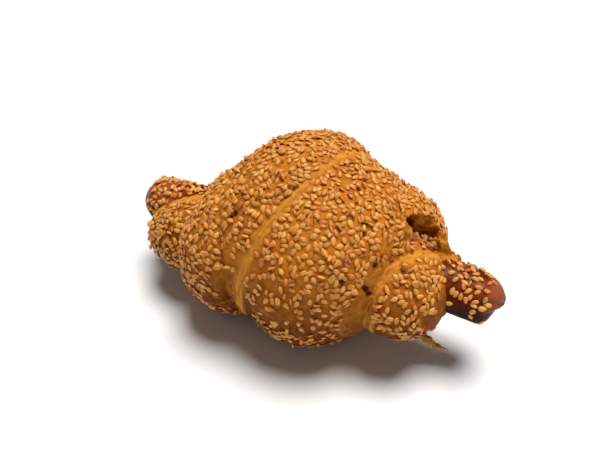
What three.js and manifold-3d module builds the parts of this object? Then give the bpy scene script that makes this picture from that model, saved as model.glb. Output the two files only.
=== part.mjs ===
// A sausage croissant: a strip of laminated yeast dough rolled round a frankfurter and baked.
// The dough's turns have grown into one another, so the dough is one solid with a tunnel through
// it, and the frankfurter lies in the tunnel with both its ends showing. Millimetres, +Z up.
import * as THREE from 'three';
import { mergeVertices } from 'three/addons/utils/BufferGeometryUtils.js';
import Module from 'manifold-3d';

const wasm = await Module();
wasm.setup();

// Driving dimensions. Places are counted from the frankfurter's middle until the last lines.
const SAUSAGE_LENGTH = 162;
const SAUSAGE_RADIUS = 10;
const SAUSAGE_SWAY = -0.055;
const SAUSAGE_RISE = 3;
const SAUSAGE_DROOP = 3;
const SAUSAGE_DROOP_POWER = 4;
const TUNNEL_GAP = 0.3;
const BASE_HEIGHT = -33;

// Each turn of dough is a fat disc threaded on the frankfurter: its middle, its half sizes along
// the roll, across it and upwards, and its turns about the upright and the cross axis in degrees.
const TURNS = [
  { middle: [-46, -5, -4.5], half: [27, 17, 16.5], yaw: 4, pitch: -13 },
  { middle: [-22, -1, 0.5], half: [25, 37, 37.5], yaw: -18, pitch: 16 },
  { middle: [-7, 4, 5], half: [29, 42, 43.5], yaw: -24, pitch: 12 },
  { middle: [7, -1, 2], half: [36, 41, 42], yaw: -26, pitch: 10 },
  { middle: [28, 7, 4.5], half: [26, 28, 26], yaw: -10, pitch: 4 },
];
const END_COIL = { middle: [41, -9, 0], half: [20, 20, 20], yaw: 0, pitch: 0 };
const TURN_FULLNESS = 2.3;
const TURN_ROWS = 18;
const TURN_SIDES = 32;

// The torn hollow under the lip of the right shoulder, above the end coil.
const HOLLOW = { middle: [45, 1, 21], half: [10, 11, 6], yaw: 16, pitch: 0, roll: -40 };

// A thin thread of dough that hangs from the end coil's underside.
const THREAD_START = [52, -14.5, -11];
const THREAD_END = [65, -13, -22.6];
const THREAD_RADIUS = 1.3;
const THREAD_ROWS = 8;
const THREAD_SIDES = 10;

const SAUSAGE_SIDES = 28;
const SAUSAGE_CAP_ROWS = 7;
const SAUSAGE_BODY_ROWS = 20;

function crustMaterial() {
  return new THREE.MeshStandardMaterial({ color: 0xc0701c, roughness: 0.55, metalness: 0 });
}

function sausageMaterial() {
  return new THREE.MeshStandardMaterial({ color: 0x8a3018, roughness: 0.35, metalness: 0 });
}

// A closed geometry with its shared vertices merged, as a solid that can be joined and cut.
function toSolid(geometry) {
  const bare = geometry.clone();
  bare.deleteAttribute('normal');
  bare.deleteAttribute('uv');
  const merged = mergeVertices(bare);
  return new wasm.Manifold(new wasm.Mesh({
    numProp: 3,
    vertProperties: new Float32Array(merged.attributes.position.array),
    triVerts: new Uint32Array(merged.index.array),
  }));
}

function toGeometry(solid) {
  const mesh = solid.getMesh();
  const geometry = new THREE.BufferGeometry();
  geometry.setAttribute('position', new THREE.BufferAttribute(mesh.vertProperties, 3));
  geometry.setIndex(new THREE.BufferAttribute(mesh.triVerts, 1));
  geometry.computeVertexNormals();
  return geometry;
}

// A unit disc with full sides: a superellipse profile turned about Y, then laid along X.
function fullDisc(fullness, rows, sides) {
  const profile = [];
  for (let row = 0; row <= rows; row += 1) {
    const along = -Math.cos((Math.PI * row) / rows);
    const onAxis = row === 0 || row === rows;
    const across = onAxis ? 0 : Math.sqrt(1 - Math.abs(along) ** fullness);
    profile.push(new THREE.Vector2(across, along));
  }
  return new THREE.LatheGeometry(profile, sides).rotateZ(-Math.PI / 2);
}

function placedDisc({ middle, half, yaw, pitch, roll = 0 }) {
  const turn = new THREE.Euler(
    THREE.MathUtils.degToRad(roll),
    THREE.MathUtils.degToRad(pitch),
    THREE.MathUtils.degToRad(yaw),
    'ZYX',
  );
  const place = new THREE.Matrix4().compose(
    new THREE.Vector3(...middle),
    new THREE.Quaternion().setFromEuler(turn),
    new THREE.Vector3(...half),
  );
  return fullDisc(TURN_FULLNESS, TURN_ROWS, TURN_SIDES).applyMatrix4(place);
}

// A round-ended bar along X whose centre line sways a little to one side and droops at its ends.
function frankfurter(radius, length) {
  const straight = length / 2 - radius;
  const profile = [];
  for (let row = 0; row <= SAUSAGE_CAP_ROWS; row += 1) {
    const angle = (Math.PI / 2) * (row / SAUSAGE_CAP_ROWS);
    profile.push(new THREE.Vector2(radius * Math.sin(angle), -straight - radius * Math.cos(angle)));
  }
  for (let row = 1; row < SAUSAGE_BODY_ROWS; row += 1) {
    profile.push(new THREE.Vector2(radius, straight * ((2 * row) / SAUSAGE_BODY_ROWS - 1)));
  }
  for (let row = SAUSAGE_CAP_ROWS; row >= 0; row -= 1) {
    const angle = (Math.PI / 2) * (row / SAUSAGE_CAP_ROWS);
    profile.push(new THREE.Vector2(radius * Math.sin(angle), straight + radius * Math.cos(angle)));
  }
  const bar = new THREE.LatheGeometry(profile, SAUSAGE_SIDES).rotateZ(-Math.PI / 2);
  const place = bar.attributes.position;
  for (let i = 0; i < place.count; i += 1) {
    const x = place.getX(i);
    const droop = SAUSAGE_DROOP * Math.abs((2 * x) / SAUSAGE_LENGTH) ** SAUSAGE_DROOP_POWER;
    place.setY(i, place.getY(i) + SAUSAGE_SWAY * x);
    place.setZ(i, place.getZ(i) + SAUSAGE_RISE - droop);
  }
  return bar;
}

// A spindle that tapers to a point at both ends.
function doughThread() {
  const start = new THREE.Vector3(...THREAD_START);
  const end = new THREE.Vector3(...THREAD_END);
  const along = end.clone().sub(start);
  const profile = [];
  for (let row = 0; row <= THREAD_ROWS; row += 1) {
    const share = row / THREAD_ROWS;
    const onAxis = row === 0 || row === THREAD_ROWS;
    const across = onAxis ? 0 : THREAD_RADIUS * Math.sin(Math.PI * share) ** 0.5;
    profile.push(new THREE.Vector2(across, share * along.length()));
  }
  const turn = new THREE.Quaternion().setFromUnitVectors(
    new THREE.Vector3(0, 1, 0),
    along.clone().normalize(),
  );
  return new THREE.LatheGeometry(profile, THREAD_SIDES)
    .applyQuaternion(turn)
    .translate(start.x, start.y, start.z);
}

// Everything below the baking tray's surface, which leaves the roll its flat base.
function belowBase() {
  const size = 2 * SAUSAGE_LENGTH;
  return new THREE.BoxGeometry(size, size, size).translate(0, 0, BASE_HEIGHT - size / 2);
}

function makeDough() {
  let dough = toSolid(placedDisc(TURNS[0]));
  for (const turn of TURNS.slice(1)) {
    dough = dough.add(toSolid(placedDisc(turn)));
  }
  dough = dough.subtract(toSolid(placedDisc(HOLLOW)));
  dough = dough.add(toSolid(placedDisc(END_COIL)));
  dough = dough.add(toSolid(doughThread()));
  dough = dough.subtract(toSolid(frankfurter(SAUSAGE_RADIUS + TUNNEL_GAP, SAUSAGE_LENGTH)));
  dough = dough.subtract(toSolid(belowBase()));
  const mesh = new THREE.Mesh(toGeometry(dough), crustMaterial());
  mesh.name = 'dough';
  return mesh;
}

function makeSausage() {
  const geometry = toGeometry(toSolid(frankfurter(SAUSAGE_RADIUS, SAUSAGE_LENGTH)));
  const mesh = new THREE.Mesh(geometry, sausageMaterial());
  mesh.name = 'sausage';
  return mesh;
}

// The origin is the middle of the underside of the whole croissant's box.
const croissant = new THREE.Group();
croissant.add(makeDough(), makeSausage());
const box = new THREE.Box3().setFromObject(croissant);
const middle = box.getCenter(new THREE.Vector3());
croissant.position.set(-middle.x, -middle.y, -box.min.z);

export default croissant;
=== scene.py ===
import itertools
import math

import bpy
import numpy as np
from mathutils import Matrix, Vector, noise
from mathutils.kdtree import KDTree


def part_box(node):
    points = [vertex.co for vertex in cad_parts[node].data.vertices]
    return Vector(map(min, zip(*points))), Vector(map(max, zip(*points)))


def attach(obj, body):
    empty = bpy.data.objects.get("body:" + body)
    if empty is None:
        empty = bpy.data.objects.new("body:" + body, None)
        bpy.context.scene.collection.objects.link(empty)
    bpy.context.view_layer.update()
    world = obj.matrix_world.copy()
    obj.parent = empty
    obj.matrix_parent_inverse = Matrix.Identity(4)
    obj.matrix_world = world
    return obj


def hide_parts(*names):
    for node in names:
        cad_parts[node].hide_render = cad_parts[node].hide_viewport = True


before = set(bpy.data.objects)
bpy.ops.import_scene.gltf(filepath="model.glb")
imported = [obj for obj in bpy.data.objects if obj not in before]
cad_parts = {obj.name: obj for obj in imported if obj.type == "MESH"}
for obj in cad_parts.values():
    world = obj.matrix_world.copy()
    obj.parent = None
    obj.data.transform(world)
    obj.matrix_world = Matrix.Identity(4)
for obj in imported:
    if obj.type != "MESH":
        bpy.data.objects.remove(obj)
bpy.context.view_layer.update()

# ------------------------------------------------------------------------------ the dough
# One strip of laminated yeast dough, rolled round the frankfurter from the tapered left horn
# to the small round coil at the right, proofed, glazed with egg and baked. Each turn of the
# strip is a fat disc that has grown into its neighbours, so the whole is one baked piece.
MM = 0.001
SAUSAGE_LENGTH = 162 * MM
SAUSAGE_RADIUS = 10 * MM
SAUSAGE_RISE = 3 * MM
SAUSAGE_DROOP = 3 * MM
SAUSAGE_DROOP_POWER = 4
SAUSAGE_SWAY = -0.055
sausage_low, sausage_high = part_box("sausage")
roll_middle = (sausage_low + sausage_high) / 2
roll_middle.z = sausage_high.z - SAUSAGE_RADIUS - SAUSAGE_RISE

# Each turn: its middle, its half sizes along the roll, across it and upwards, in millimetres,
# and its turns about its own axis, the cross axis and the upright, in degrees.
TURNS = {
    "left_horn": ((-46, -5.5, -2.7), (27, 17, 16.8), (0, -13, 4)),
    "left_turn": ((-22, -1, 0.5), (25, 37, 37.5), (0, 16, -18)),
    "left_shoulder": ((-7, 4, 5), (29, 42, 43), (0, 12, -24)),
    "middle_band": ((7, -1, 2), (35.5, 40.5, 41.5), (0, 10, -26)),
    "right_shoulder": ((28, 7, 4.5), (26, 28, 25.5), (0, 4, -10)),
    "end_coil": ((41, -9, 0), (19.5, 19.5, 19.5), (0, 0, 0)),
}
FULLNESS = 2.3
JUST_INSIDE = 0.9999
# The torn hollow above the coil: the deep slot, the shallow dish over it and the crevice at its
# left, then the flap and the fold of dough that were left standing on either side of it, and
# the tongue of dough that was smeared from the fold onto the frankfurter.
SLOT = ((46, 1, 18.5), (11.5, 10, 5), (-40, 0, 16))
DISH = ((47.5, 2, 24), (8.5, 7, 5.5), (-40, 20, 16))
CREVICE = ((40, 0, 22), (2, 11, 5.5), (-40, 0, 10))
FLAP = ((37, -4, 23), (5.5, 5, 4.5), (-20, 20, 0))
FOLD = ((54, 3.5, 14.5), (2, 3, 7), (-29, -33, 0))
TONGUE = ((55.5, 3.2, 10.3), (6, 4.5, 2.2), (-38, 4, 0))
# The string of dough that hangs under the coil: its start, its bend and its end, and how thick.
THREAD = ((51, -16, -12), (59.2, -14.5, -20.6), (65.2, -13, -22.6))
THREAD_RADII = (2.2, 1.5, 0.6)
DOUGH_GRAIN = 0.75 * MM
TUNNEL_SLACK = 0.2 * MM


def place_of(middle, turns):
    """Where a turn sits: its own axes, moved to its middle on the roll."""
    x, y, z = (math.radians(t) for t in turns)
    spin = Matrix.Rotation(z, 4, "Z") @ Matrix.Rotation(y, 4, "Y") @ Matrix.Rotation(x, 4, "X")
    return Matrix.Translation(roll_middle + Vector(middle) * MM) @ spin


def fat_disc(name, middle, half, turns):
    """A ball drawn out to a turn's half sizes, with its two faces pressed fuller."""
    bpy.ops.object.select_all(action="DESELECT")
    bpy.ops.mesh.primitive_uv_sphere_add(segments=96, ring_count=64, radius=1)
    disc = bpy.context.object
    disc.name = name
    for vertex in disc.data.vertices:
        along = min(abs(vertex.co.x), JUST_INSIDE)
        fuller = math.sqrt((1 - along ** FULLNESS) / (1 - along ** 2))
        vertex.co.y *= fuller
        vertex.co.z *= fuller
    disc.data.transform(place_of(middle, turns) @ Matrix.Diagonal((*(Vector(half) * MM), 1)))
    return disc


def join(pieces):
    bpy.ops.object.select_all(action="DESELECT")
    for piece in pieces:
        piece.select_set(True)
    bpy.context.view_layer.objects.active = pieces[0]
    bpy.ops.object.join()
    return pieces[0]


def finish_with(piece, kind, **settings):
    """Adds one modifier with its settings and applies it."""
    bpy.ops.object.select_all(action="DESELECT")
    piece.select_set(True)
    bpy.context.view_layer.objects.active = piece
    modifier = piece.modifiers.new(kind, kind)
    for setting, value in settings.items():
        setattr(modifier, setting, value)
    bpy.ops.object.modifier_apply(modifier=modifier.name)


def sausage_bar(name, radius, length, sides, cap_steps, body_steps):
    """A round-ended bar that sways to one side and droops at its ends, as the frankfurter does."""
    bpy.ops.object.select_all(action="DESELECT")
    bpy.ops.mesh.primitive_cylinder_add(vertices=sides, radius=radius, depth=length,
                                        end_fill_type="TRIFAN", rotation=(0, math.pi / 2, 0))
    bpy.ops.object.transform_apply(location=False, rotation=True, scale=False)
    bar = bpy.context.object
    bar.name = name
    bpy.ops.object.mode_set(mode="EDIT")
    bpy.ops.mesh.select_mode(type="EDGE")
    bpy.ops.mesh.select_all(action="DESELECT")
    bpy.ops.object.mode_set(mode="OBJECT")
    for edge in bar.data.edges:
        a, b = (bar.data.vertices[v].co for v in edge.vertices)
        edge.select = abs(a.x - b.x) > radius
    bpy.ops.object.mode_set(mode="EDIT")
    bpy.ops.mesh.subdivide(number_cuts=2 * cap_steps + body_steps)
    bpy.ops.object.mode_set(mode="OBJECT")
    rings = 2 * cap_steps + body_steps + 1
    straight = length / 2 - radius
    # The last ring keeps a little of its size, so that the fan that closes the tip has an area.
    tip_step = 0.05
    for vertex in bar.data.vertices:
        step = round((vertex.co.x / length + 0.5) * rings)
        from_end = min(step, rings - step)
        side = -1 if step < rings / 2 else 1
        if from_end <= cap_steps:
            turn = math.pi / 2 * max(from_end, tip_step) / (cap_steps + 1)
            x = side * (straight + radius * math.cos(turn))
            vertex.co.y *= math.sin(turn)
            vertex.co.z *= math.sin(turn)
        else:
            share = (step - cap_steps - 1) / (rings - 2 * cap_steps - 2)
            x = straight * (2 * share - 1)
        droop = SAUSAGE_DROOP * abs(2 * x / SAUSAGE_LENGTH) ** SAUSAGE_DROOP_POWER
        vertex.co.x = x
        vertex.co += roll_middle + Vector((0, SAUSAGE_SWAY * x, SAUSAGE_RISE - droop))
    return bar


def dough_thread(start, end, start_radius, end_radius):
    """One tapering length of the string of dough that was pulled out of the coil's underside."""
    start = roll_middle + Vector(start) * MM
    end = roll_middle + Vector(end) * MM
    bpy.ops.object.select_all(action="DESELECT")
    bpy.ops.mesh.primitive_cone_add(vertices=12, radius1=start_radius * MM,
                                    radius2=end_radius * MM, depth=(end - start).length + MM)
    string = bpy.context.object
    turn = (end - start).to_track_quat("Z", "Y").to_matrix().to_4x4()
    string.data.transform(Matrix.Translation((start + end) / 2) @ turn)
    return string


discs = {name: fat_disc(name, *shape) for name, shape in TURNS.items()}
dough = join([disc for name, disc in discs.items() if name != "end_coil"])
dough.name = "dough_roll"
finish_with(dough, "REMESH", mode="VOXEL", voxel_size=DOUGH_GRAIN)
for shape in (SLOT, DISH, CREVICE):
    scoop = fat_disc("scoop", *shape)
    finish_with(dough, "BOOLEAN", operation="DIFFERENCE", object=scoop, solver="MANIFOLD")
    bpy.data.objects.remove(scoop)
dough = join([dough, discs["end_coil"], fat_disc("flap", *FLAP), fat_disc("fold", *FOLD),
              fat_disc("tongue", *TONGUE), dough_thread(*THREAD[:2], *THREAD_RADII[:2]),
              dough_thread(*THREAD[1:], *THREAD_RADII[1:])])
finish_with(dough, "REMESH", mode="VOXEL", voxel_size=DOUGH_GRAIN)
tunnel = sausage_bar("tunnel", SAUSAGE_RADIUS - TUNNEL_SLACK, SAUSAGE_LENGTH + 2 * MM, 48, 8, 60)
finish_with(dough, "BOOLEAN", operation="DIFFERENCE", object=tunnel, solver="MANIFOLD")
bpy.data.objects.remove(tunnel)
finish_with(dough, "SMOOTH", factor=0.5, iterations=5)

# The proofed dough swells unevenly, in broad soft lumps and in small ones.
for name, size, height in (("broad_lumps", 20 * MM, 2.4 * MM), ("small_lumps", 6 * MM, 0.8 * MM)):
    lumps = bpy.data.textures.new(name, "CLOUDS")
    lumps.noise_scale = size
    lumps.noise_depth = 1
    finish_with(dough, "DISPLACE", texture=lumps, strength=height, mid_level=0.5,
                texture_coords="LOCAL")


def corners_of(piece):
    """The places and the outward directions of a mesh's vertices."""
    count = len(piece.data.vertices)
    places = np.empty(count * 3)
    outward = np.empty(count * 3)
    piece.data.vertices.foreach_get("co", places)
    piece.data.vertices.foreach_get("normal", outward)
    return places.reshape(-1, 3), outward.reshape(-1, 3)


def swell(places, middle, half, spin):
    """How far out of a turn each place lies: 1 is on the turn's own skin."""
    into = place_of(middle, spin) @ Matrix.Diagonal((*(Vector(half) * MM), 1))
    into = np.array(into.inverted())
    local = places @ into[:3, :3].T + into[:3, 3]
    return np.sqrt(abs(local[:, 0]) ** FULLNESS + local[:, 1] ** 2 + local[:, 2] ** 2)


def seam_distance(places, outward, over, under):
    """Millimetres along the skin from the seam of two turns, above 0 on the one on top."""
    step = 0.2 * MM
    least_slope = 3.0

    def lead(at):
        return swell(at, *TURNS[under]) - swell(at, *TURNS[over])

    slope = np.stack([lead(places + step * axis) - lead(places - step * axis)
                      for axis in np.eye(3)], axis=1) / (2 * step)
    slope -= (slope * outward).sum(1, keepdims=True) * outward
    return lead(places) / np.maximum(np.linalg.norm(slope, axis=1), least_slope) / MM


def hill(value, middle, width):
    """1 at the middle, falling off smoothly over the width."""
    return np.exp(-((value - middle) / width) ** 2)


def rise(value, start, end):
    """0 before start, 1 after end, and smooth between them."""
    share = np.clip((value - start) / (end - start), 0, 1)
    return share * share * (3 - 2 * share)


def cloud(places, size, seed=0):
    """Soft noise between about -1 and 1 that changes over the given size, one for each seed."""
    shift = Vector((seed * 7.1, seed * 3.7, seed * 1.3))
    return np.array([noise.noise(Vector(p) / size + shift) for p in places])


# Where one turn's edge lies over the next: the upper turn, the lower one, the height of the
# upper one's lip, the depth of the furrow beside it, then how wide the dough is left bare, in
# millimetres, and how much it was stretched pale, on the lower turn and on the upper one.
SEAMS = (
    ("middle_band", "left_shoulder", 0.35, -0.2, (4.6, 1.0), (0.5, 0.3)),
    ("left_shoulder", "left_turn", 0.6, 1.5, (0.8, 0.6), (0.6, 0.4)),
    ("left_turn", "left_horn", 0.6, 1.5, (1.0, 0.5), (0.8, 0.4)),
    ("middle_band", "right_shoulder", 0.6, 1.2, (1.5, 0.6), (0.8, 0.4)),
    ("middle_band", "end_coil", 0.3, 0.8, (4.2, 0.9), (9.5, 0.25)),
    ("right_shoulder", "end_coil", 0.2, 0.8, (4.2, 1.0), (1.0, 0.3)),
)
LIP_PLACE, LIP_WIDTH = 1.0, 0.8
FURROW_PLACE, FURROW_WIDTH = -0.7, 1.2
BARE_EDGE = 0.8
# Small scorched pits where the glaze boiled through: place, radius and depth.
PITS = (
    ((25.1, -32.2, 18.2), 1.3, 1.1), ((25.6, -32.0, 16.2), 1.0, 0.9),
    ((32.7, -26.1, 11.4), 1.3, 1.3), ((33.0, -25.6, 9.4), 1.2, 1.1),
    ((32.4, -26.6, 13.3), 1.1, 1.0), ((34.8, -19.4, 21.2), 1.5, 0.8),
    ((33.6, -21.0, 19.8), 1.2, 0.7), ((27.6, -16.7, 32.7), 1.4, 1.2),
    ((27.9, -19.0, 31.0), 1.2, 1.0), ((29.6, -17.0, 30.6), 1.0, 1.0),
    ((-18.4, -26.5, 32.1), 1.3, 0.9), ((-20.0, -27.5, 30.2), 0.9, 0.7),
)
# How far the surface moves in or out, in millimetres, by the kind of dough.
STRAND_RELIEF = 0.35
CRUST_RELIEF = 0.25
THREAD_RELIEF = 0.8
COARSE_TEAR, FINE_TEAR = 0.55, 0.45
places, outward = corners_of(dough)
roll_places = (places - np.array(roll_middle)) / MM
roll_x, roll_y, roll_z = roll_places.T
swells = {name: swell(places, *shape) for name, shape in TURNS.items()}
ranked = np.sort(np.stack(list(swells.values())), axis=0)
owner = np.argmin(np.stack(list(swells.values())), axis=0)
# Noise that frays the edges of the bare strips, and the strands that the dough was drawn into.
ragged = cloud(places, 4.5 * MM, 3) + 0.5 * cloud(places, 1.8 * MM, 8)
band_axes = np.array(place_of((0, 0, 0), TURNS["middle_band"][2]).inverted())[:3, :3]
strands = cloud((places @ band_axes.T) * (1, 0.1, 0.1), 1.3 * MM, 9)
lift = np.zeros(len(places))
pale = np.zeros(len(places))
bare = np.zeros(len(places))
scorch_and_furrow_shade = np.zeros(len(places))
# The bare strips narrow towards the crest.
narrower = 1 - 0.4 * rise(roll_z, 32, 44)
for over, under, lip, furrow, (below, pale_below), (above, pale_above) in SEAMS:
    distance = seam_distance(places, outward, over, under)
    # A seam shows only where its two turns are the nearest two.
    near = rise(np.maximum(swells[over], swells[under]) - ranked[1], 0.03, 0.0)
    lift += near * lip * hill(distance, LIP_PLACE, LIP_WIDTH) * MM
    lift -= near * furrow * hill(distance, FURROW_PLACE, FURROW_WIDTH) * MM
    start = -below * narrower
    strip = near * rise(distance + ragged, start - BARE_EDGE, start + BARE_EDGE)
    strip *= rise(distance + ragged, above + BARE_EDGE, above - BARE_EDGE)
    bare = np.maximum(bare, strip)
    share = pale_below + (pale_above - pale_below) * rise(distance, -0.8, 0.4)
    pale = np.maximum(pale, strip * share)
    # Along the coil's own seams a thin broken line of painted shade darkens the furrow.
    if under == "end_coil":
        furrow_shade = near * hill(distance, -1.2, 1.1) * rise(ragged, -0.5, 0.5)
        scorch_and_furrow_shade = np.maximum(scorch_and_furrow_shade, 0.45 * furrow_shade)
# The horn's thin edge was stretched pale where it closes on the frankfurter.
bar_share = abs(roll_x / (SAUSAGE_LENGTH / 2 / MM)) ** SAUSAGE_DROOP_POWER
bar_z = (SAUSAGE_RISE - SAUSAGE_DROOP * bar_share) / MM
to_bar = np.hypot(roll_y - SAUSAGE_SWAY * roll_x, roll_z - bar_z)
rim = rise(to_bar + 0.8 * ragged, 14.5, 12.5) * rise(roll_x, -36, -44)
pale = np.maximum(pale, 0.9 * rim)
bare = np.maximum(bare, rim)
# Torn crumb shows inside the hollow and on the fold. The tongue and the thread are stretched.
hollow = np.min([swell(places, *shape) for shape in (SLOT, DISH, CREVICE)], axis=0)
torn = rise(hollow, 1.12, 1.0) * rise(swells["end_coil"], 1.03, 1.08)
torn = np.maximum(torn, rise(swell(places, *FOLD), 1.5, 1.2))
pale *= 1 - torn
pale = np.maximum(pale, 0.7 * rise(swell(places, *TONGUE), 1.4, 1.1) * (1 - torn))
on_thread = rise(swells["end_coil"], 1.03, 1.1) * rise(roll_z, -10, -13) * rise(roll_x, 48, 51)
pale = np.maximum(pale, 0.6 * on_thread)
tear = COARSE_TEAR * cloud(places, 2.6 * MM, 5) + FINE_TEAR * cloud(places, 1.5 * MM, 12)
lift += torn * tear * MM
lift += on_thread * cloud(places, 1.6 * MM, 11) * THREAD_RELIEF * MM
lift += bare * strands * STRAND_RELIEF * MM
lift += (1 - torn) * cloud(places, 2.2 * MM, 6) * CRUST_RELIEF * MM
for middle, radius, depth in PITS:
    nearest = roll_places[np.argmin(np.linalg.norm(roll_places - middle, axis=1))]
    dent = hill(np.linalg.norm(roll_places - nearest, axis=1), 0, radius)
    lift -= dent * depth * MM
    scorch_and_furrow_shade = np.maximum(scorch_and_furrow_shade, dent)
places += outward * lift[:, None]
# Nothing goes below the tray: the lowest dough is pressed flat, with a soft turn up at its edge.
BASE_ROUNDING = 0.8 * MM
places[:, 2] = (places[:, 2] + np.hypot(places[:, 2], BASE_ROUNDING)) / 2
dough.data.vertices.foreach_set("co", places.ravel())
dough.data.update()


def keep(piece, name, values):
    """Stores one number for each vertex, for the finish to read."""
    layer = piece.data.attributes.new(name, "FLOAT", "POINT")
    layer.data.foreach_set("value", values.astype(np.float32))


keep(dough, "pale", pale)
keep(dough, "torn", torn)
keep(dough, "scorch_and_furrow_shade", scorch_and_furrow_shade)
height = (places[:, 2] - roll_middle.z) / MM
keep(dough, "height", height)
for polygon in dough.data.polygons:
    polygon.use_smooth = True


class Wire:
    """An output in a finish. Sums and products of wires add Math nodes."""

    def __init__(self, finish, socket):
        self.finish = finish
        self.socket = socket

    def __add__(self, other):
        return self.finish.sum_of("ADD", self, other)

    def __radd__(self, other):
        return self.finish.sum_of("ADD", other, self)

    def __sub__(self, other):
        return self.finish.sum_of("SUBTRACT", self, other)

    def __rsub__(self, other):
        return self.finish.sum_of("SUBTRACT", other, self)

    def __mul__(self, other):
        return self.finish.sum_of("MULTIPLY", self, other)

    def __rmul__(self, other):
        return self.finish.sum_of("MULTIPLY", other, self)


class Finish:
    """One finish: a material whose nodes are added by name, settings and inputs."""

    def __init__(self, name):
        self.material = bpy.data.materials.new(name)
        self.material.use_nodes = True
        self.tree = self.material.node_tree
        self.skin = self.tree.nodes["Principled BSDF"]

    def add(self, kind, settings, inputs, output=0):
        node = self.tree.nodes.new(kind)
        for setting, value in settings.items():
            setattr(node, setting, value)
        self.feed(node, inputs)
        return Wire(self, node.outputs[output])

    def feed(self, node, inputs):
        for socket, value in inputs.items():
            if isinstance(value, Wire):
                self.tree.links.new(value.socket, node.inputs[socket])
            else:
                node.inputs[socket].default_value = value

    def sum_of(self, operation, first, second):
        return self.add("ShaderNodeMath", {"operation": operation}, {0: first, 1: second})

    def read(self, name):
        return self.add("ShaderNodeAttribute", {"attribute_name": name}, {}, "Fac")

    def blend(self, share, first, second):
        return self.add("ShaderNodeMix", {"data_type": "RGBA"}, {0: share, 6: first, 7: second}, 2)

    def ramp(self, value, low, high):
        """0 below low, 1 above high."""
        return self.add("ShaderNodeMapRange", {"interpolation_type": "SMOOTHSTEP"},
                        {"Value": value, "From Min": low, "From Max": high})

    def speckle(self, grain, stretch=(1, 1, 1), turns=(0, 0, 0), detail=3.0, rough=0.55):
        """Soft noise whose lumps are about the grain in size, drawn out along turned axes."""
        object_place = self.add("ShaderNodeTexCoord", {}, {}, "Object")
        turned = self.add("ShaderNodeMapping", {"vector_type": "TEXTURE"},
                          {"Vector": object_place, "Scale": stretch,
                           "Rotation": [math.radians(turn) for turn in turns]})
        return self.add("ShaderNodeTexNoise", {}, {"Vector": turned, "Scale": 1 / grain,
                                                   "Detail": detail, "Roughness": rough})


def paint(red, green, blue):
    """A colour as the eye names it, 0 to 255, as the light it reflects."""
    parts = (value / 255 for value in (red, green, blue))
    return (*(p / 12.92 if p < 0.04 else ((p + 0.055) / 1.055) ** 2.4 for p in parts), 1)


def crust_finish():
    """Egg-glazed crust: golden brown, paler where it stretched, browner in blotches, darker below
    from browning and painted shade, with painted shade round the seeds and in the coil's seam
    furrows.
    """
    crust = Finish("golden_crust")
    height = crust.read("height")
    pale = crust.read("pale")
    torn = crust.read("torn")
    scorch_and_furrow_shade = crust.read("scorch_and_furrow_shade")
    glaze_and_shade_round_seeds = crust.read("glaze_and_shade_round_seeds")
    blotch = crust.speckle(13 * MM, detail=4)
    mottle = crust.speckle(3.2 * MM, detail=4)
    streak = crust.speckle(1.1 * MM, stretch=(1, 9, 9), turns=TURNS["middle_band"][2], detail=4)
    grain = crust.speckle(0.9 * MM, detail=5)
    # Darker towards the table: partly the real browning near the tray, partly painted shade on the
    # underside.
    browned_and_shaded_low = crust.ramp(height + 16 * blotch, 36, -3)
    colour = crust.blend(browned_and_shaded_low, paint(214, 129, 36), paint(100, 39, 2))
    colour = crust.blend(crust.ramp(blotch, 0.5, 0.75) * 0.4, colour, paint(132, 58, 10))
    colour = crust.blend(crust.ramp(mottle, 0.5, 0.32) * 0.5, colour, paint(204, 124, 36))
    colour = crust.blend(crust.ramp(mottle, 0.54, 0.72) * 0.55, colour, paint(122, 52, 8))
    colour = crust.blend(crust.ramp(streak, 0.56, 0.36) * 0.12, colour, paint(206, 130, 40))
    stretched = pale * crust.ramp(streak, 0.25, 0.65)
    colour = crust.blend(stretched * 0.92, colour, paint(230, 158, 58))
    # A darker ring round each seed: pooled, browned glaze with painted contact shade under the
    # seed.
    colour = crust.blend(glaze_and_shade_round_seeds * crust.ramp(grain + mottle, 0.75, 1.1) * 0.25, colour,
                         paint(122, 54, 8))
    crumb = crust.blend(crust.ramp(mottle, 0.4, 0.65), paint(152, 84, 14), paint(208, 138, 48))
    colour = crust.blend(torn, colour, crumb)
    colour = crust.blend(crust.ramp(-1 * height, 31.5, 32.9), colour, paint(150, 86, 34))
    # Dark brown in the scorched pits, and painted shade along the furrows of the coil's seams.
    colour = crust.blend(crust.ramp(scorch_and_furrow_shade, 0.15, 0.7), colour, paint(92, 32, 12))
    relief = streak * (0.15 + pale) + 0.5 * grain + 1.8 * mottle
    bump = crust.add("ShaderNodeBump", {}, {"Strength": 1.0, "Distance": 0.5 * MM,
                                            "Height": relief})
    crust.feed(crust.skin, {"Base Color": colour, "Roughness": 0.45 + 0.2 * grain, "Normal": bump,
                            "Specular IOR Level": 0.08, "Specular Tint": (1, 0.72, 0.42, 1),
                            "Subsurface Weight": 0.08, "Subsurface Scale": 2 * MM,
                            "Subsurface Radius": (1.0, 0.4, 0.1)})
    return crust.material


dough.data.materials.clear()
dough.data.materials.append(crust_finish())
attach(dough, "root")
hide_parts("dough")

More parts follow.
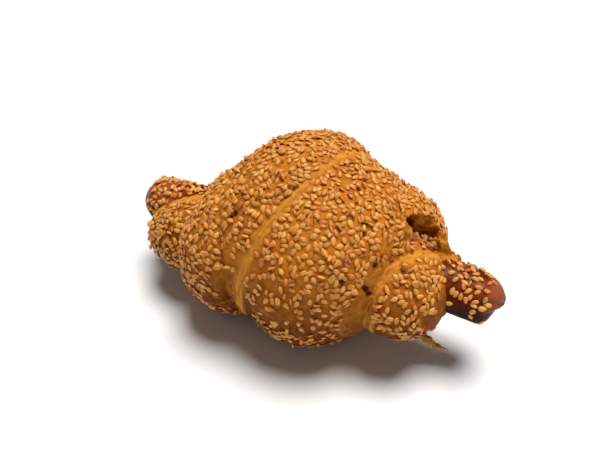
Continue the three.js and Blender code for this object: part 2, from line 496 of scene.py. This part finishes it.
# ---------------------------------------------------------------------------- the torn crumb
# Where the last turn tore away in the oven, bits of the inner crumb were left standing along
# the hollow's front edge. They are soft bread, paler than the crust, stuck to the coil's top.
CRUMB_ROW = (Vector((37.5, -1.5, 20.5)), Vector((51, 1.5, 16.5)))
CRUMB_SPREAD = (0.6, 1.6, 0.4)
CRUMB_COUNT = 44
CRUMB_GRAIN = 0.3 * MM
CRUMB_RELIEF = 0.4 * MM
chance = np.random.default_rng(7)
crumbs = []
for number in range(CRUMB_COUNT):
    bpy.ops.object.select_all(action="DESELECT")
    bpy.ops.mesh.primitive_ico_sphere_add(subdivisions=3, radius=chance.uniform(0.5, 1.15) * MM)
    crumb = bpy.context.object
    row = CRUMB_ROW[0].lerp(CRUMB_ROW[1], chance.random())
    spot = roll_middle + (row + Vector(chance.normal(0, CRUMB_SPREAD))) * MM
    uneven = Matrix.Diagonal((*chance.uniform(0.7, 1.4, 3), 1))
    crumb.data.transform(Matrix.Translation(spot) @ uneven)
    crumbs.append(crumb)
crumb_piece = join(crumbs)
crumb_piece.name = "torn_crumb"
finish_with(crumb_piece, "REMESH", mode="VOXEL", voxel_size=CRUMB_GRAIN)
crumb_places, crumb_outward = corners_of(crumb_piece)
crumb_places += crumb_outward * (cloud(crumb_places, 0.8 * MM, 4) * CRUMB_RELIEF)[:, None]
crumb_piece.data.vertices.foreach_set("co", crumb_places.ravel())
crumb_piece.data.update()
for polygon in crumb_piece.data.polygons:
    polygon.use_smooth = True

soft_crumb = Finish("soft_crumb")
crumb_grain = soft_crumb.speckle(0.7 * MM, detail=4)
crumb_colour = soft_crumb.blend(soft_crumb.ramp(soft_crumb.speckle(2 * MM), 0.35, 0.65),
                                paint(200, 134, 62), paint(140, 80, 28))
crumb_bump = soft_crumb.add("ShaderNodeBump", {}, {"Strength": 0.7, "Distance": 0.2 * MM,
                                                   "Height": crumb_grain})
soft_crumb.feed(soft_crumb.skin, {"Base Color": crumb_colour, "Roughness": 0.6,
                                  "Normal": crumb_bump, "Specular IOR Level": 0.3,
                                  "Subsurface Weight": 0.15, "Subsurface Scale": 1 * MM,
                                  "Subsurface Radius": (1.0, 0.6, 0.3)})
crumb_piece.data.materials.append(soft_crumb.material)
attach(crumb_piece, "root")

# --------------------------------------------------------------------------- the frankfurter
# A smoked frankfurter runs through the whole roll. Its ends dried and browned in the oven, and
# its underside is browned and painted nearly black as shade. It is only held by the dough that
# was rolled round it.
WRINKLE_HEIGHT = 0.35 * MM
GROOVE_DEPTH = 1.3 * MM
SHORTER_LOBE = 3.2 * MM
sausage = sausage_bar("frankfurter", SAUSAGE_RADIUS, SAUSAGE_LENGTH, 72, 14, 110)
skin_places, skin_outward = corners_of(sausage)
wrinkle = cloud(skin_places * (0.35, 1, 1), 2.6 * MM, 2)
skin_places += skin_outward * (WRINKLE_HEIGHT * wrinkle)[:, None]
# The twist of the casing left a groove across the right end, and the lobe under it is shorter.
rolled = (skin_places - np.array(roll_middle)) / MM
above_groove = (rolled - (79, -7, 4)) @ (-0.09, 0.50, 0.86)
at_front = rise(rolled[:, 0], 66, 73) * rise(rolled[:, 1], -2, -7)
skin_places -= skin_outward * (GROOVE_DEPTH * at_front * hill(above_groove, 0, 1.3))[:, None]
skin_places[:, 0] -= SHORTER_LOBE * rise(rolled[:, 0], 71, 81) * rise(above_groove, -0.5, -4)
sausage.data.vertices.foreach_set("co", skin_places.ravel())
sausage.data.update()
keep(sausage, "height", (skin_places[:, 2] - roll_middle.z) / MM)
keep(sausage, "tip", rise(rolled[:, 0], 69, 77) + rise(rolled[:, 0], -50, -68))
for polygon in sausage.data.polygons:
    polygon.use_smooth = True


def sausage_finish():
    """Browned casing: dark red-brown, lighter on the tips where it blistered, browned and painted
    near black with shade below.
    """
    skin = Finish("baked_skin")
    height = skin.read("height")
    tip = skin.read("tip")
    blotch = skin.speckle(7 * MM, detail=4)
    grain = skin.speckle(0.9 * MM, stretch=(2.5, 1, 1), detail=4)
    # The underside is painted nearly black: browned casing with painted shade under the
    # frankfurter.
    under = skin.ramp(height + 9 * blotch, 14, 3)
    colour = skin.blend(skin.ramp(blotch, 0.4, 0.65), paint(134, 50, 18), paint(90, 28, 8))
    colour = skin.blend(skin.ramp(tip + 0.4 * blotch, 0.5, 1.1), colour, paint(160, 80, 48))
    colour = skin.blend(under, colour, paint(30, 11, 4))
    bump = skin.add("ShaderNodeBump", {}, {"Strength": 0.6, "Distance": 0.25 * MM, "Height": grain})
    skin.feed(skin.skin, {"Base Color": colour, "Roughness": 0.34 + 0.2 * grain, "Normal": bump,
                          "Specular IOR Level": 0.1, "Specular Tint": (1, 0.66, 0.45, 1),
                          "Coat Weight": 0.08 - 0.08 * under, "Coat Roughness": 0.3,
                          "Subsurface Weight": 0.05, "Subsurface Scale": 2 * MM,
                          "Subsurface Radius": (1.0, 0.3, 0.15)})
    return skin.material


sausage.data.materials.append(sausage_finish())
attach(sausage, "root")
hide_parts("sausage")

# ------------------------------------------------------------------------ the sesame seeds
# Hulled sesame, scattered on the wet glaze before baking and toasted with it: flat drops
# about 3 mm long, held by the dried glaze, thick on the tops and thin on the flanks.
SEED_LENGTH = 3.05 * MM
SEED_WIDTH = 1.85 * MM
SEED_THICKNESS = 0.9 * MM
SEEDS_PER_AREA = 1.0 / MM ** 2
SEED_SINK = 0.3 * MM
# The share of seeds that lie on others and that stand on an edge, and how much the rest tilt.
SEEDS_STACKED = 0.06
SEEDS_ON_EDGE = 0.08
SEED_LEAN = 0.14
SEED_ROLL = 0.18
STACKED_LEAN = 0.3
STACKED_LIFT = 0.5 * MM
EDGE_ROLL = (0.7, 1.3)
SIZE_SPREAD = 0.07
# The rings of the ball that are drawn in or out to make the drop: where each is, and how much.
SEED_RINGS = ((-0.433, 0.45), (-0.25, 0.8), (0.25, 1.08), (0.433, 1.1))
# A seed keeps its middle and both its ends this far from the others', and tries this many turns.
SEED_ROOM = 0.62 * SEED_WIDTH
SEED_REACH = 0.27 * SEED_LENGTH
TURNS_TRIED = 7


def one_seed():
    """A ball flattened to a drop: rounded at one end, drawn to a point at the other."""
    bpy.ops.object.select_all(action="DESELECT")
    bpy.ops.mesh.primitive_uv_sphere_add(segments=8, ring_count=6, radius=0.5,
                                         rotation=(0, math.pi / 2, 0))
    bpy.ops.object.transform_apply(location=False, rotation=True, scale=False)
    seed = bpy.context.object
    seed.name = "one_seed"
    for ring, fuller in SEED_RINGS:
        bpy.ops.object.mode_set(mode="EDIT")
        bpy.ops.mesh.select_mode(type="VERT")
        bpy.ops.mesh.select_all(action="DESELECT")
        bpy.ops.object.mode_set(mode="OBJECT")
        for vertex in seed.data.vertices:
            vertex.select = abs(vertex.co.x - ring) < 0.02
        bpy.ops.object.mode_set(mode="EDIT")
        bpy.ops.transform.resize(value=(1, fuller, fuller))
        bpy.ops.object.mode_set(mode="OBJECT")
    seed.data.transform(Matrix.Diagonal((SEED_LENGTH, SEED_WIDTH, SEED_THICKNESS, 1)))
    return seed


class Crowd:
    """Where seeds lie already, in cells, so that only the near ones are looked at."""

    def __init__(self, apart):
        self.apart = apart
        self.cells = {}

    def cell(self, spot):
        return tuple(math.floor(c / self.apart) for c in spot)

    def blocks(self, spot):
        near = itertools.product(*((k - 1, k, k + 1) for k in self.cell(spot)))
        return any((spot - other).length < self.apart
                   for at in near for other in self.cells.get(at, ()))

    def add(self, spot):
        self.cells.setdefault(self.cell(spot), []).append(spot)


def scatter(piece, richness, chance):
    """Seeds dropped on a piece, more where it is rich, turned until they lie clear of the others.
    Returns each seed's place, its three axes and the vertex that it lies on."""
    faces = piece.data.polygons
    values = np.empty(len(faces) * 3)
    faces.foreach_get("center", values)
    middles = values.reshape(-1, 3).copy()
    faces.foreach_get("normal", values)
    facing = values.reshape(-1, 3).copy()
    areas = np.empty(len(faces))
    faces.foreach_get("area", areas)
    first = np.array([face.vertices[0] for face in faces])
    weights = areas * richness[first]
    drops = int(weights.sum() * SEEDS_PER_AREA)
    picks = chance.choice(len(faces), size=drops, p=weights / weights.sum())
    crowd = Crowd(SEED_ROOM)
    seeds = []
    for pick in picks:
        up = Vector(facing[pick])
        place = Vector(middles[pick])
        side = up.orthogonal().normalized()
        stacked = chance.random() < SEEDS_STACKED
        if crowd.blocks(place) and not stacked:
            continue
        for turn in chance.uniform(0, 2 * math.pi, size=TURNS_TRIED):
            along = Matrix.Rotation(turn, 3, up) @ side
            ends = (place - along * SEED_REACH, place + along * SEED_REACH)
            clear = not (crowd.blocks(ends[0]) or crowd.blocks(ends[1]))
            if clear or stacked:
                break
        if not (clear or stacked):
            continue
        for spot in (place, *ends):
            crowd.add(spot)
        lean = chance.normal(0, SEED_LEAN) + (STACKED_LEAN if stacked else 0)
        roll = chance.normal(0, SEED_ROLL)
        if chance.random() < SEEDS_ON_EDGE:
            roll += math.copysign(chance.uniform(*EDGE_ROLL), roll)
        across = up.cross(along)
        tilt = Matrix.Rotation(lean, 3, across) @ Matrix.Rotation(roll, 3, along)
        along, across, top = (tilt @ axis for axis in (along, across, up))
        lift = SEED_THICKNESS / 2 - SEED_SINK + (STACKED_LIFT if stacked else 0)
        lift += 0.25 * SEED_WIDTH * abs(math.sin(roll))
        seeds.append((place + up * lift, along, across, top, first[pick]))
    return seeds


def seed_piece(name, seeds, pattern, chance):
    """Joined copies of the one seed, each with a size and a toast of its own."""
    corners = np.array([v.co for v in pattern.data.vertices])
    rings = [tuple(face.vertices) for face in pattern.data.polygons]
    places = []
    faces = []
    toast = []
    tip = []
    for place, along, across, top, _ in seeds:
        size = chance.normal(1, SIZE_SPREAD)
        wide = chance.normal(1, SIZE_SPREAD)
        axes = np.array([along, across, top]) * [[size], [size * wide], [size]]
        start = len(places) * len(corners)
        places.append(corners @ axes + np.array(place))
        faces += [tuple(start + v for v in ring) for ring in rings]
        toast.append(np.full(len(corners), chance.random()))
        tip.append(0.5 - corners[:, 0] / SEED_LENGTH)
    mesh = bpy.data.meshes.new(name)
    mesh.from_pydata(np.concatenate(places), [], faces)
    mesh.update()
    piece = bpy.data.objects.new(name, mesh)
    bpy.context.scene.collection.objects.link(piece)
    keep(piece, "toast", np.concatenate(toast))
    keep(piece, "tip", np.concatenate(tip))
    mesh.polygons.foreach_set("use_smooth", [True] * len(mesh.polygons))
    return piece


def seed_finish():
    seed = Finish("toasted_sesame")
    toast = seed.read("toast")
    tip = seed.read("tip")
    grain = seed.speckle(0.7 * MM, detail=2)
    colour = seed.blend(toast, paint(234, 169, 81), paint(208, 128, 47))
    colour = seed.blend(seed.ramp(toast, 0.94, 1.0) * 0.5, colour, paint(168, 90, 34))
    colour = seed.blend(seed.ramp(tip + 0.3 * grain, 0.85, 1.15) * 0.5, colour, paint(176, 98, 38))
    bump = seed.add("ShaderNodeBump", {}, {"Strength": 0.25, "Distance": 0.1 * MM, "Height": grain})
    seed.feed(seed.skin, {"Base Color": colour, "Roughness": 0.42 + 0.1 * grain, "Normal": bump,
                          "Specular IOR Level": 0.3, "Coat Weight": 0.1, "Coat Roughness": 0.3,
                          "Subsurface Weight": 0.15, "Subsurface Scale": 0.8 * MM,
                          "Subsurface Radius": (1.0, 0.6, 0.3)})
    return seed.material


# How thick the seeds lie: full on the tops, thinner towards the table and in patches, none on
# the stretched dough, in the torn hollow, on the base or where they were rubbed off, which is
# within these distances of these places, in millimetres.
RUBBED_OFF = (
    ((-18, -35.5, 3), 9), ((-14.5, -34, -8), 8), ((-24, -33, -6), 6), ((-16, -32, -17), 7),
    ((60, -14, 4), 6), ((57.5, -20, -2), 6), ((41, -24, -8), 6), ((44.5, -27, 6), 2.5),
    ((60, -15, -17), 6), ((57.6, -11.3, -10), 8), ((33.5, -22.5, 18), 4.5),
    ((35, -16.5, 24), 3.5), ((33, -25.5, 12), 4), ((32.5, -27, 5), 4),
)
# The share of full seeding low down on each turn, which grows to full at its top right.
SEEDED_LOW = {
    "left_horn": 0.6, "left_turn": 0.32, "left_shoulder": 0.08,
    "middle_band": 0.1, "right_shoulder": 0.6, "end_coil": 0.42,
}
names = list(TURNS)
patchy = cloud(places, 8 * MM, 1)
low_share, turn_x = np.array([(SEEDED_LOW[name], TURNS[name][0][0]) for name in names])[owner].T
to_top_right = rise(height + 0.6 * (roll_x - turn_x), 0, 46) ** 1.4
richness = (low_share + (1 - low_share) * to_top_right) * (0.9 + 0.4 * patchy)
for middle, radius in RUBBED_OFF:
    away = np.linalg.norm(roll_places - middle, axis=1) + 1.5 * ragged
    richness *= rise(away, radius - 1, radius + 1)
richness *= (1 - rise(bare, 0.3, 0.7)) * (1 - rise(torn, 0.05, 0.3)) * (1 - scorch_and_furrow_shade)
richness *= rise(outward[:, 2], -0.75, -0.35) * rise(height, -32, -27)
richness = np.clip(richness, 0, 1)
chance = np.random.default_rng(41)
pattern = one_seed()
sesame = seed_finish()
seeds = scatter(dough, richness, chance)
# The glaze pooled and browned round each seed, and contact shade round each seed is painted there
# too.
spots = KDTree(len(seeds))
for number, seed in enumerate(seeds):
    spots.insert(seed[0], number)
spots.balance()
to_seed = np.array([spots.find(place)[2] for place in places]) / MM
keep(dough, "glaze_and_shade_round_seeds", rise(to_seed, 2.6, 1.5))
for number, turn in enumerate(names):
    group = [seed for seed in seeds if owner[seed[4]] == number]
    piece = seed_piece("seeds_" + turn, group, pattern, chance)
    piece.data.materials.append(sesame)
    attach(piece, "root")

# On the frankfurter they lie on top and thicker at the left, not on its tips or in the dough.
bar_x, _, bar_z = rolled.T
sausage_richness = (0.05 + 0.5 * rise(bar_z, -2, 14)) * rise(bar_z, -6, -1)
sausage_richness += 0.3 * rise(bar_x, 0, -50) * rise(bar_z, -6, 6)
sausage_richness *= rise(bar_x, 76, 70) * rise(bar_x, -78, -73)
out_of_dough = np.min([swell(skin_places, *shape) for shape in TURNS.values()], axis=0)
sausage_richness *= rise(out_of_dough, 1.0, 1.04)
group = scatter(sausage, sausage_richness, chance)
piece = seed_piece("seeds_frankfurter", group, pattern, chance)
piece.data.materials.append(sesame)
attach(piece, "root")
bpy.data.objects.remove(pattern)

# ---------------------------------------------------------------------- the table and camera
# A plain pale table top under a soft overhead light with a weak fill from the front right, seen
# from the front right and well above, close enough for the croissant to fill the view.
TABLE_SIZE = 6
bpy.ops.object.select_all(action="DESELECT")
bpy.ops.mesh.primitive_plane_add(size=TABLE_SIZE)
table = bpy.context.object
table.name = "table"
pale_table = Finish("pale_table")
pale_table.feed(pale_table.skin, {"Base Color": (0.9, 0.9, 0.89, 1), "Roughness": 0.7})
table.data.materials.append(pale_table.material)

CAMERA_TURN = math.radians(22)
CAMERA_RISE = math.radians(40)
CAMERA_DISTANCE = 240 * MM
# The camera aims a little along the frankfurter, then to its own left and upwards.
AIM_ALONG = 5 * MM
AIM_LEFT = 8 * MM
AIM_UP = 10 * MM
right = Vector((math.cos(CAMERA_TURN), math.sin(CAMERA_TURN), 0))
back = Vector((math.sin(CAMERA_TURN) * math.cos(CAMERA_RISE),
               -math.cos(CAMERA_TURN) * math.cos(CAMERA_RISE), math.sin(CAMERA_RISE)))
aim = roll_middle + Vector((AIM_ALONG, 0, 0)) - AIM_LEFT * right + AIM_UP * back.cross(right)
lens = bpy.data.cameras.new("camera")
lens.sensor_width = 36
lens.lens = 34.5
lens.clip_start = 0.01
camera = bpy.data.objects.new("camera", lens)
bpy.context.scene.collection.objects.link(camera)
camera.location = aim + back * CAMERA_DISTANCE
camera.rotation_euler = (-back).to_track_quat("-Z", "Y").to_euler()
bpy.context.scene.camera = camera

world = bpy.data.worlds.new("studio")
world.use_nodes = True
world.node_tree.nodes["Background"].inputs["Color"].default_value = (1, 0.96, 0.9, 1)
world.node_tree.nodes["Background"].inputs["Strength"].default_value = 0.11
bpy.context.scene.world = world
bpy.context.scene.view_settings.view_transform = "Standard"


def soft_light(name, kind, place, **settings):
    light = bpy.data.lights.new(name, kind)
    for setting, value in settings.items():
        setattr(light, setting, value)
    holder = bpy.data.objects.new(name, light)
    bpy.context.scene.collection.objects.link(holder)
    holder.location = place
    holder.rotation_euler = (Vector(place) - aim).to_track_quat("Z", "Y").to_euler()


soft_light("key", "SUN", (0.05, 0.1, 0.6), energy=3.6, angle=math.radians(28))
soft_light("fill", "AREA", (0.5, -0.5, 0.35), energy=0.25, size=0.4)
